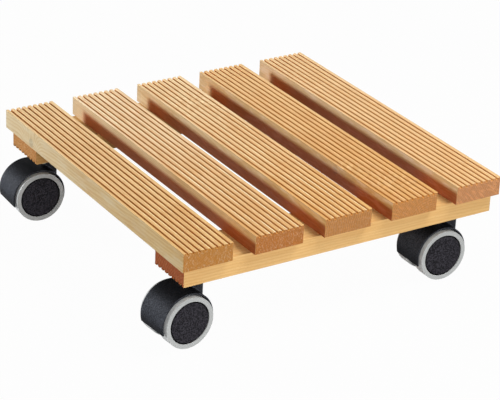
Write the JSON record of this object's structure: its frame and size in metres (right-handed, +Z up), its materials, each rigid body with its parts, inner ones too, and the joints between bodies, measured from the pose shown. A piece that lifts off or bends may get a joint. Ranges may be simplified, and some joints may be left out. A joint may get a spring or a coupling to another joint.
{
  "type": "plant pot caddy",
  "caption": "Square slatted wooden caddy on twin-wheel swivel casters, for standing and rolling a heavy plant pot.",
  "frame": {"origin": "on the floor, under the middle of the deck", "axes": "+X along the slats, +Y from the front edge to the back edge across the slats, +Z up"},
  "size_m": [0.29, 0.303, 0.085],
  "materials": {
    "slat_wood": "oiled, ribbed",
    "batten_wood": "oiled, ribbed below",
    "screw_steel": "zinc plated",
    "plate_zinc": "zinc plated",
    "pin_steel": "turned",
    "hood_plastic": "fine leather grain",
    "wheel_plastic": "moulded",
    "tread_rubber": "soft, satin",
    "cap_plastic": "fine spark-eroded texture"
  },
  "bodies": {
    "deck": {"slat_1": "slat_wood", "slat_2": "slat_wood", "slat_3": "slat_wood", "slat_4": "slat_wood", "slat_5": "slat_wood", "batten_left": "batten_wood", "batten_right": "batten_wood", "slat_screws": "screw_steel", "caster_screws": "screw_steel", "mount_plate_front_left": "plate_zinc", "kingpin_front_left": "pin_steel", "mount_plate_front_right": "plate_zinc", "kingpin_front_right": "pin_steel", "mount_plate_back_right": "plate_zinc", "kingpin_back_right": "pin_steel", "mount_plate_back_left": "plate_zinc", "kingpin_back_left": "pin_steel"},
    "front_left_caster": {"housing_front_left": "hood_plastic", "axle_front_left": "pin_steel", "snap_ring_front_left": "pin_steel"},
    "front_left_outer_wheel": {"wheel_front_left_outer": "wheel_plastic", "tread_front_left_outer": "tread_rubber", "cap_front_left_outer": "cap_plastic"},
    "front_left_inner_wheel": {"wheel_front_left_inner": "wheel_plastic", "tread_front_left_inner": "tread_rubber", "cap_front_left_inner": "cap_plastic"},
    "front_right_caster": {"housing_front_right": "hood_plastic", "axle_front_right": "pin_steel", "snap_ring_front_right": "pin_steel"},
    "front_right_outer_wheel": {"wheel_front_right_outer": "wheel_plastic", "tread_front_right_outer": "tread_rubber", "cap_front_right_outer": "cap_plastic"},
    "front_right_inner_wheel": {"wheel_front_right_inner": "wheel_plastic", "tread_front_right_inner": "tread_rubber", "cap_front_right_inner": "cap_plastic"},
    "back_right_caster": {"housing_back_right": "hood_plastic", "axle_back_right": "pin_steel", "snap_ring_back_right": "pin_steel"},
    "back_right_outer_wheel": {"wheel_back_right_outer": "wheel_plastic", "tread_back_right_outer": "tread_rubber", "cap_back_right_outer": "cap_plastic"},
    "back_right_inner_wheel": {"wheel_back_right_inner": "wheel_plastic", "tread_back_right_inner": "tread_rubber", "cap_back_right_inner": "cap_plastic"},
    "back_left_caster": {"housing_back_left": "hood_plastic", "axle_back_left": "pin_steel", "snap_ring_back_left": "pin_steel"},
    "back_left_outer_wheel": {"wheel_back_left_outer": "wheel_plastic", "tread_back_left_outer": "tread_rubber", "cap_back_left_outer": "cap_plastic"},
    "back_left_inner_wheel": {"wheel_back_left_inner": "wheel_plastic", "tread_back_left_inner": "tread_rubber", "cap_back_left_inner": "cap_plastic"}
  },
  "joints": [
    {"name": "front_left_swivel", "type": "hinge", "parent": "deck", "child": "front_left_caster", "pos_m": [-0.11875, -0.118, 0], "axis": [0, 0, 1], "continuous": true},
    {"name": "front_left_outer_spin", "type": "hinge", "parent": "front_left_caster", "child": "front_left_outer_wheel", "pos_m": [-0.11945, -0.13398, 0.021], "axis": [0.999, -0.0436, 0], "continuous": true},
    {"name": "front_left_inner_spin", "type": "hinge", "parent": "front_left_caster", "child": "front_left_inner_wheel", "pos_m": [-0.11945, -0.13398, 0.021], "axis": [0.999, -0.0436, 0], "continuous": true},
    {"name": "front_right_swivel", "type": "hinge", "parent": "deck", "child": "front_right_caster", "pos_m": [0.11875, -0.118, 0], "axis": [0, 0, 1], "continuous": true},
    {"name": "front_right_outer_spin", "type": "hinge", "parent": "front_right_caster", "child": "front_right_outer_wheel", "pos_m": [0.11995, -0.13395, 0.021], "axis": [0.9972, 0.075, 0], "continuous": true},
    {"name": "front_right_inner_spin", "type": "hinge", "parent": "front_right_caster", "child": "front_right_inner_wheel", "pos_m": [0.11995, -0.13395, 0.021], "axis": [0.9972, 0.075, 0], "continuous": true},
    {"name": "back_right_swivel", "type": "hinge", "parent": "deck", "child": "back_right_caster", "pos_m": [0.11875, 0.118, 0], "axis": [0, 0, 1], "continuous": true},
    {"name": "back_right_outer_spin", "type": "hinge", "parent": "back_right_caster", "child": "back_right_outer_wheel", "pos_m": [0.11847, 0.102, 0.021], "axis": [0.9998, -0.0175, 0], "continuous": true},
    {"name": "back_right_inner_spin", "type": "hinge", "parent": "back_right_caster", "child": "back_right_inner_wheel", "pos_m": [0.11847, 0.102, 0.021], "axis": [0.9998, -0.0175, 0], "continuous": true},
    {"name": "back_left_swivel", "type": "hinge", "parent": "deck", "child": "back_left_caster", "pos_m": [-0.11875, 0.118, 0], "axis": [0, 0, 1], "continuous": true},
    {"name": "back_left_outer_spin", "type": "hinge", "parent": "back_left_caster", "child": "back_left_outer_wheel", "pos_m": [-0.11819, 0.10201, 0.021], "axis": [0.9994, 0.0349, 0], "continuous": true},
    {"name": "back_left_inner_spin", "type": "hinge", "parent": "back_left_caster", "child": "back_left_inner_wheel", "pos_m": [-0.11819, 0.10201, 0.021], "axis": [0.9994, 0.0349, 0], "continuous": true}
  ]
}
